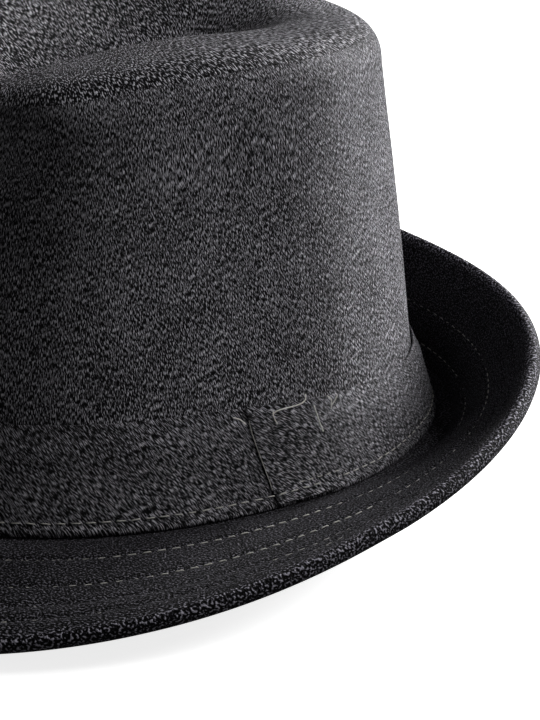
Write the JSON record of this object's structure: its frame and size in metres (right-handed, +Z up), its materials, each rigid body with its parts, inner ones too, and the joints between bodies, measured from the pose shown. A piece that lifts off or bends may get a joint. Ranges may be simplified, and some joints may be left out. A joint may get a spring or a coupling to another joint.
{
  "type": "fedora hat",
  "caption": "Short-brimmed wool fedora: two side panels and a creased tip, self-cloth band with keeper, stitched two-cloth brim, satin lining and sweatband.",
  "frame": {"origin": "centre of the hat's bounding box, on the surface that it rests on: its front brim edge and the back of its headline touch z = 0", "axes": "+Z up out of the crown, the wearer faces -Y, +X is the wearer's left"},
  "size_m": [0.261, 0.2622, 0.1255],
  "materials": {
    "crown_wool": "brushed charcoal melange wool, nap lying down",
    "band_wool": "brushed charcoal melange wool",
    "brim_wool": "brushed charcoal melange wool, rows of grey topstitching",
    "buckram": "sized open-weave cotton",
    "canvas": "stiff cotton canvas",
    "cotton_tape": "black cotton twill tape",
    "sweatband_twill": "black cotton twill, matt",
    "satin_lining": "black polyester satin, soft shine",
    "label_satin": "blank woven satin label"
  },
  "bodies": {
    "root": {"crown_front_panel": "crown_wool", "crown_back_panel": "crown_wool", "crown_tip": "crown_wool", "side_stiffener": "buckram", "tip_stiffener": "buckram", "hat_band": "band_wool", "band_keeper": "band_wool", "brim_top": "brim_wool", "brim_stiffener": "canvas", "brim_under": "brim_wool", "headline_tape": "cotton_tape", "sweatband": "sweatband_twill", "lining_side": "satin_lining", "lining_tip": "satin_lining", "care_label": "label_satin"}
  },
  "joints": []
}
